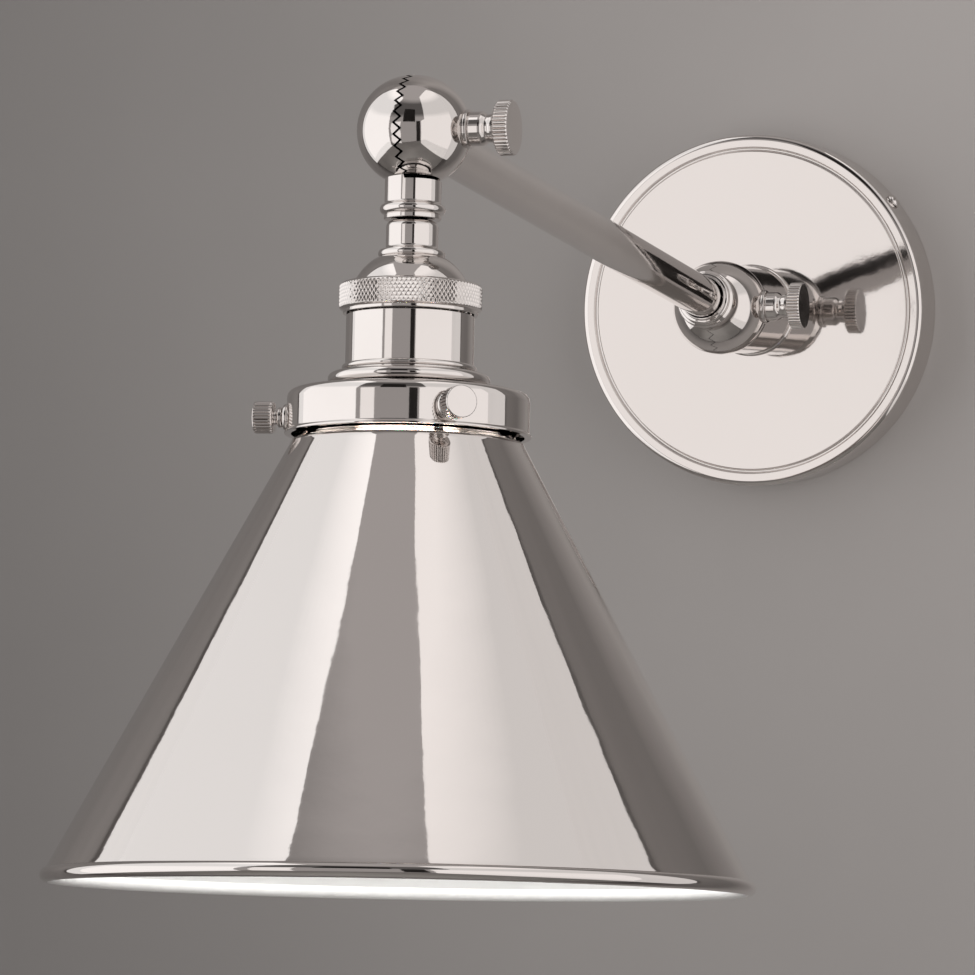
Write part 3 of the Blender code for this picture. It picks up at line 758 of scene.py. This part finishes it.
def make_lamp_holder():
    """The holder from the domed cap down to the fitter rings, with the socket inside it."""
    outer = bow((1.0, 47.5), 15.6, 58, 0, 22)
    inner = bow((1.0, 47.5), 14.6, 0, 54, 12)
    outline = [(4.3, 34.25), (9.1, 34.25, 0.25), (9.3, outer[0][1] + 0.1, 0.1), *outer[1:], *inner]
    outline += [(4.3, inner[-1][1])]
    nickel_piece("socket_cap", lathe(outline, 128), FRAME_LAMP, "lamp")
    make_knurled_ring()
    outline = [(15.9, 49.8, 0.2), (17.05, 49.8, 0.15), (17.05, 75.0, 0.3), (15.9, 75.0, 0.3)]
    nickel_piece("socket_shell", lathe(outline, 128), FRAME_LAMP, "lamp")
    outline = [(SHELL_CLEAR, 63.0), *bow((17.15, 63.8), 0.78, 80, -80, 12), (SHELL_CLEAR, 64.6)]
    nickel_piece("shell_bead", lathe(outline, 128), FRAME_LAMP, "lamp")
    outline = [(SHELL_CLEAR, 65.0), (18.6, 65.05, 0.3), *bow((19.85, 66.95), 1.72, 78, -85, 16)]
    outline += [(SHELL_CLEAR, 68.7)]
    nickel_piece("upper_fitter_ring", lathe(outline, 144), FRAME_LAMP, "lamp")
    outline = [(SHELL_CLEAR, 71.3, 0.2), (22.0, 71.5, 0.3), (22.0, 74.3, 0.3), (SHELL_CLEAR, 74.3, 0.2)]
    brass_piece("lower_fitter_ring", lathe(outline, 96), FRAME_LAMP, "lamp")

    outline = [(0, 48.6), (12.0, 48.6, 0.8), (15.4, 50.2, 0.6), (15.4, 72.0, 0.5), (14.0, 72.0, 0.4)]
    outline += [(14.0, 54.0), (0, 54.0)]
    holes = [moved(plug(1.7, 47, 52, 24), shift(x=side * TERMINAL_OFFSET)) for side in (-1, 1)]
    core = carved(lathe(outline, 96), holes)
    piece("socket_core_piece", core, FRAME_LAMP, "lamp", "porcelain", [porcelain], ["socket_core"])
    for name, side in (("line", -1), ("neutral", 1)):
        head = [(0, 51.5), (1.3, 51.5), (1.3, 48.3), (2.6, 48.3, 0.1), (2.6, 47.0, 0.3), (0, 47.0)]
        mesh = carved(lathe(head, 48), [block((6.0, 0.7, 1.2), (0, 0, 47.0), 0.6)])
        place = FRAME_LAMP @ shift(x=side * TERMINAL_OFFSET)
        brass_piece(f"{name}_terminal_screw", mesh, place, "lamp")
    outline = [(0, 54.9), (3.5, 54.9, 0.2), (3.5, 54.3), (0, 54.3)]
    brass_piece("centre_contact", lathe(outline, 48), FRAME_LAMP, "lamp")


# ---------------------------------------------------------------- lamp


LAMP_PITCH = 3.6


def rolled_thread(radius, low, high, pitch):
    """Rows of points for a rolled lamp thread, inside and out."""
    rows = int((high - low) / pitch * 10)
    return [(radius, low + (high - low) * i / rows) for i in range(rows + 1)]


def make_bulb():
    """A round frosted lamp, screwed into a rolled brass shell."""
    rows = rolled_thread(13.7, 55.2, 72.3, LAMP_PITCH)
    back = [(13.3, h) for _, h in reversed(rows)]
    outline = [(13.3, 54.5), (13.7, 54.5), *rows, (13.7, 73.0), (13.3, 73.0), *back]
    thread = thread_settings(13.35, LAMP_PITCH, 0.25, 55.0, 72.5)
    shell = worked(lathe(outline, 72), CUT_BAND, **thread, Material=brass)
    brass_piece("screw_shell", shell, FRAME_LAMP, "lamp")
    tip = [(0, 56.2), (2.6, 56.2), (2.5, 55.7, 0.3), (0, 55.3)]
    brass_piece("bulb_tip", lathe(tip, 40), FRAME_LAMP, "lamp")
    rows = rolled_thread(12.9, 60.4, 72.0, LAMP_PITCH)
    outline = [(0, 56.5), (4.5, 56.5, 0.3), (9.0, 58.3, 1.0), (12.4, 59.6, 0.5), *rows, (12.6, 73.0, 0.2)]
    outline += [(12.9, 73.6, 0.2), (12.9, 74.5, 0.2), (0, 74.5)]
    thread = thread_settings(12.85, LAMP_PITCH, 0.8, 60.0, 73.0)
    base = worked(lathe(outline, 72), CUT_BAND, **thread, Material=bright_aluminium)
    piece("bulb_base_piece", base, FRAME_LAMP, "lamp", "aluminium", [bright_aluminium], ["bulb_base"])
    outer = bow((0, 127.0), 29.4, 40, -90, 40)[:-1]
    inner = bow((0, 127.0), 28.6, -90, 42, 30)[1:]
    neck = [(17.6, 99.5), (15.3, 92.0), (13.7, 84.0), (12.7, 74.8)]
    inner_neck = [(11.7, 74.8), (12.8, 84.5), (14.4, 92.5), (16.9, 99.8)]
    outline = [(0, 156.4), *reversed(outer), *neck, *inner_neck, *reversed(inner), (0, 155.6)]
    glass = lathe(outline, 112)
    piece("bulb_glass_piece", glass, FRAME_LAMP, "lamp", "opal_glass", [opal], ["bulb_glass"], 50.0)


# ---------------------------------------------------------------- shade and its fitter

SCREW_FLUTES = 28


def make_fitter():
    """The cup that the shade hangs in, with three fluted screws round it."""
    outline = [(17.65, 69.65), (24.0, 69.8, 2.0), (32.2, 70.05, 2.5), (32.2, 80.9, 0.3)]
    outline += [(32.7, 81.2, 0.2), (32.7, 81.78, 0.2), (30.9, 81.78), (30.9, 71.4, 0.8), (17.65, 70.8)]
    nickel_piece("shade_fitter", lathe(outline, 160), FRAME_LAMP, "lamp")
    for number, screw in enumerate(screws, 1):
        outward = Vector(screw["axis"])
        place = axes_frame(screw_centre, outward, ball_b - screw_centre)
        ring = [(1.9, 32.25), (3.55, 32.25, 0.3), (3.68, 32.9, 0.3), (3.3, 33.55, 0.4), (1.9, 33.6)]
        nickel_piece(f"fitter_boss_{number}", lathe(ring, 72), place, "lamp")
        rim = [(4.27, 36.5 + 4.7 * i / 12) for i in range(13)]
        outline = [(0, 28.8), (1.6, 28.8, 0.3), (1.6, 33.9), (2.75, 33.9, 0.3), (2.75, 34.9, 0.3)]
        outline += [(1.95, 35.2, 0.2), (1.95, 35.9, 0.3), (3.9, 36.15, 0.2), *rim]
        outline += [(4.05, 41.45, 0.12), (0, 41.48)]
        mesh = worked(
            lathe(outline, SCREW_FLUTES * 8), CUT_BAND, Cuts=SCREW_FLUTES, Slant_A=0.0, Slant_B=0.0,
            Depth=0.4 * MM, Crown=1.0, Inner_Radius=3.95 * MM, Outer_Radius=4.15 * MM, Low_End=36.3 * MM,
            High_End=41.3 * MM, Run_Out=0.4 * MM, Material=nickel,
        )
        nickel_piece(f"thumbscrew_{number}", mesh, place, f"screw_{number}", 30.0)


def make_shade():
    """A spun cone with a short neck and a rolled rim, polished outside and enamelled inside."""
    neck, sheet = 28.5, 0.9
    cone_top = (31.2, 84.6)
    rim_centre, rim_radius = (91.9, 199.4), 1.98
    rim = bow(rim_centre, rim_radius, 80, -225, 30)
    outline = [(neck - sheet, 75.6, 0.3), (neck, 75.6, 0.3), (neck, 82.3, 0.6), (29.7, 82.8, 0.3)]
    outline += [(30.7, 83.5, 0.3), (*cone_top, 0.3), (rim[0][0] - 0.6, rim[0][1] - 1.2), *rim]
    outline += [(cone_top[0] - 1.0, cone_top[1] + 0.4, 0.5), (neck - sheet, 83.4, 0.5)]
    mesh = lathe(outline, 224)
    axis_point = FRAME_LAMP.translation
    axis = FRAME_LAMP.to_3x3().col[2].normalized()

    def inside_is_enamel(face):
        offset = Vector(face.center) - axis_point
        height = offset.dot(axis)
        radial = offset - height * axis
        inward = Vector(face.normal).dot(radial.normalized()) < -0.3
        under_rim = radial.length < rim_centre[0] * MM and height > (rim_centre[1] - rim_radius) * MM
        return 1 if inward or (under_rim and Vector(face.normal).dot(axis) > -0.5) else 0

    piece(
        "shade_piece", mesh, FRAME_LAMP, "lamp", "nickel_shade", [nickel_spun, enamel], ["shade"], 45.0,
        inside_is_enamel,
    )


# ---------------------------------------------------------------- room, light and camera


# Span of the wall across which its painted light and shade grade.
WALL_LEFT, WALL_RIGHT = -0.27, 0.07
WALL_LOW, WALL_HIGH = -0.22, 0.05


def plain_material(name, colour, roughness, scale, back_is_clear=False, painted_wall_light=False):
    """A faintly mottled surface for the room. On the wall, light and shade are painted in: its colour is
    scaled paler from left to right, darker again past the right of the view and darker towards the bottom.
    """
    made = bpy.data.materials.new(name)
    made.use_nodes = True
    tree = made.node_tree
    shader = tree.nodes["Principled BSDF"]
    place = step(tree, "ShaderNodeTexCoord").outputs["Object"]
    cloud = step(tree, "ShaderNodeTexNoise", {"Vector": place, "Scale": scale, "Detail": 6.0})
    ramp = step(tree, "ShaderNodeValToRGB", {"Fac": cloud.outputs[0]})
    ramp.color_ramp.elements[0].color = (*[c * 0.86 for c in colour], 1)
    ramp.color_ramp.elements[1].color = (*[c * 1.12 for c in colour], 1)
    ramp.color_ramp.elements[0].position = 0.3
    ramp.color_ramp.elements[1].position = 0.7
    painted = ramp.outputs["Color"]
    if painted_wall_light:
        # Painted light and shade: these ramps scale the wall's colour in place of the panels' uneven light
        # falling on it.
        across, _, height = step(tree, "ShaderNodeSeparateXYZ", {0: place}).outputs
        slopes = (
            (across, WALL_LEFT, WALL_RIGHT, 0.88, 1.66),
            (across, WALL_RIGHT + 0.04, 0.3, 1.66, 0.85),
            (height, WALL_LOW, WALL_HIGH, 0.78, 1.0),
        )
        ranges = [step(tree, "ShaderNodeMapRange", dict(enumerate(terms))) for terms in slopes]
        paler, darker, upward = ranges
        slope = calc(tree, "MINIMUM", paler.outputs[0], darker.outputs[0])
        painted = step(tree, "ShaderNodeVectorMath", {0: painted}, operation="SCALE")
        tree.links.new(calc(tree, "MULTIPLY", slope, upward.outputs[0]), painted.inputs["Scale"])
        painted = painted.outputs[0]
    tree.links.new(painted, shader.inputs["Base Color"])
    shader.inputs["Roughness"].default_value = roughness
    shader.inputs["Specular IOR Level"].default_value = 0.2
    if back_is_clear:
        output = tree.nodes["Material Output"]
        clear = step(tree, "ShaderNodeBsdfTransparent")
        back = step(tree, "ShaderNodeNewGeometry").outputs["Backfacing"]
        mix = step(tree, "ShaderNodeMixShader", {0: back, 1: shader.outputs[0], 2: clear.outputs[0]})
        tree.links.new(mix.outputs[0], output.inputs["Surface"])
    return made


def wall_with_opening(half_width, floor, ceiling, opening, sides=96):
    """Points and faces of a wall at y = 0, with the round hole that the plate covers."""
    points, faces = [], []
    for i in range(sides):
        turn = 2 * math.pi * i / sides
        x, z = math.cos(turn), math.sin(turn)
        reach = min(half_width / max(abs(x), 1e-6), (ceiling if z > 0 else -floor) / max(abs(z), 1e-6))
        points += [(opening * x, 0.0, opening * z), (reach * x, 0.0, reach * z)]
        start, end = 2 * i, 2 * ((i + 1) % sides)
        faces.append((start, start + 1, end + 1, end))
    return points, faces


def stage_plane(name, corners, material, faces=((0, 1, 2, 3),)):
    mesh = bpy.data.meshes.new(name)
    mesh.from_pydata(corners, [], faces)
    mesh.materials.append(material)
    made = bpy.data.objects.new(name, mesh)
    bpy.context.scene.collection.objects.link(made)
    return made


def softbox(name, centre, target, size, radiance, colour):
    """An area light that shows in reflections; radiance is how bright it looks."""
    data = bpy.data.lights.new(name, "AREA")
    data.shape = "RECTANGLE"
    data.size, data.size_y = size
    data.energy = radiance * math.pi * size[0] * size[1]
    data.color = colour
    made = bpy.data.objects.new(name, data)
    bpy.context.scene.collection.objects.link(made)
    aim = (Vector(target) - Vector(centre)).normalized()
    made.matrix_world = axes_frame(centre, -aim, aim.cross(Vector((0, 0, 1))))
    made.visible_camera = False
    return made


def make_room():
    """A grey plaster wall behind the light, a pale floor, large soft panels and two dark flags."""
    # The wall gets painted light and shade: paler to the right, darker low down.
    wall = plain_material("grey plaster wall", (0.33, 0.316, 0.308), 0.9, 1.6, True, True)
    far, floor, ceiling = 2.2, -1.3, 1.6
    points, faces = wall_with_opening(far, floor, ceiling, (PLATE_RADIUS - 1.32) * MM)
    stage_plane("room_wall", points, wall, faces)
    pale = plain_material("pale floor", (0.62, 0.61, 0.59), 0.7, 1.2)
    front, back = -3.2, 0.6
    corners = [(-far, front, floor), (far, front, floor), (far, back, floor), (-far, back, floor)]
    stage_plane("room_floor", corners, pale)

    world = bpy.data.worlds.new("soft grey room")
    bpy.context.scene.world = world
    world.use_nodes = True
    sky = world.node_tree
    direction = step(sky, "ShaderNodeTexCoord").outputs["Generated"]
    rise = step(sky, "ShaderNodeSeparateXYZ", {0: direction}).outputs[2]
    tone = step(sky, "ShaderNodeValToRGB", {"Fac": rise})
    for place in (0.25, 0.75):
        tone.color_ramp.elements.new(place)
    tones = ((0.40, 0.37), (0.52, 0.11), (0.80, 0.11), (0.90, 0.44))
    for band, (place, tint) in zip(tone.color_ramp.elements, tones):
        band.position = place
        band.color = (tint, tint * 0.94, tint * 0.92, 1)
    sky.links.new(tone.outputs["Color"], sky.nodes["Background"].inputs["Color"])

    pink = (1.0, 0.972, 0.957)
    white = (1.0, 0.993, 0.99)
    tall = 3.3
    middle = 0.95
    low, high = -0.6, 0.4
    softbox("left softbox", (-0.86, -0.745, middle), (0.106, -0.487, middle), (1.45, tall), 0.875, white)
    softbox("front left panel", (-0.47, -1.60, -0.1), (-0.47, 0.0, -0.1), (0.34, high - low), 0.69, pink)
    softbox("right panel", (0.585, -0.72, -0.1), (-0.4, -0.72, -0.1), (1.40, high - low), 0.69, pink)
    softbox("upper right panel", (0.585, -0.59, 1.5), (-0.4, -0.59, 1.5), (1.14, 2.2), 0.69, pink)
    softbox("low bounce", (0.0, -1.0, -0.62), (0.0, -1.0, 1.0), (1.5, 1.5), 0.8, pink)
    black = plain_material("black flag", (0.035, 0.032, 0.031), 0.9, 3.0)
    flags = {
        "black_flag": [(0.40, -1.50, -0.5), (0.56, -1.45, -0.5), (0.56, -1.45, 0.4), (0.40, -1.50, 0.4)],
        "black_curtain": [(-0.25, -2.0, 0.5), (0.5, -2.0, 0.5), (0.5, -2.0, 1.5), (-0.25, -2.0, 1.5)],
    }
    for name, corners in flags.items():
        stage_plane(name, corners, black).visible_camera = False


CAMERA_PLACE = (0.46304, -1.74898, -0.04821)
CAMERA_YAW, CAMERA_PITCH, CAMERA_ROLL = (math.radians(a) for a in (17.747, -0.261, -0.846))


def make_camera():
    """A long lens a little to the right of the plate, level with the arm."""
    data = bpy.data.cameras.new("camera")
    data.lens = 203.08
    data.sensor_width = 36.0
    data.clip_start, data.clip_end = 0.05, 30.0
    camera = bpy.data.objects.new("camera", data)
    bpy.context.scene.collection.objects.link(camera)
    yaw, pitch, roll = CAMERA_YAW, CAMERA_PITCH, CAMERA_ROLL
    right = Vector((math.cos(yaw), math.sin(yaw), 0))
    ahead = Vector((-math.sin(yaw) * math.cos(pitch), math.cos(yaw) * math.cos(pitch), math.sin(pitch)))
    up = right.cross(ahead)
    turned_right = math.cos(roll) * right + math.sin(roll) * up
    turned_up = math.cos(roll) * up - math.sin(roll) * right
    turn = Matrix((turned_right, turned_up, -ahead)).transposed().to_4x4()
    camera.matrix_world = Matrix.Translation(Vector(CAMERA_PLACE)) @ turn
    bpy.context.scene.camera = camera


bpy.context.scene.view_settings.view_transform = "Standard"
make_camera()
make_room()
make_wall_plate()
make_hub()
make_arm()
make_stem()
make_lamp_holder()
make_bulb()
make_fitter()
make_shade()

bpy.context.view_layer.update()
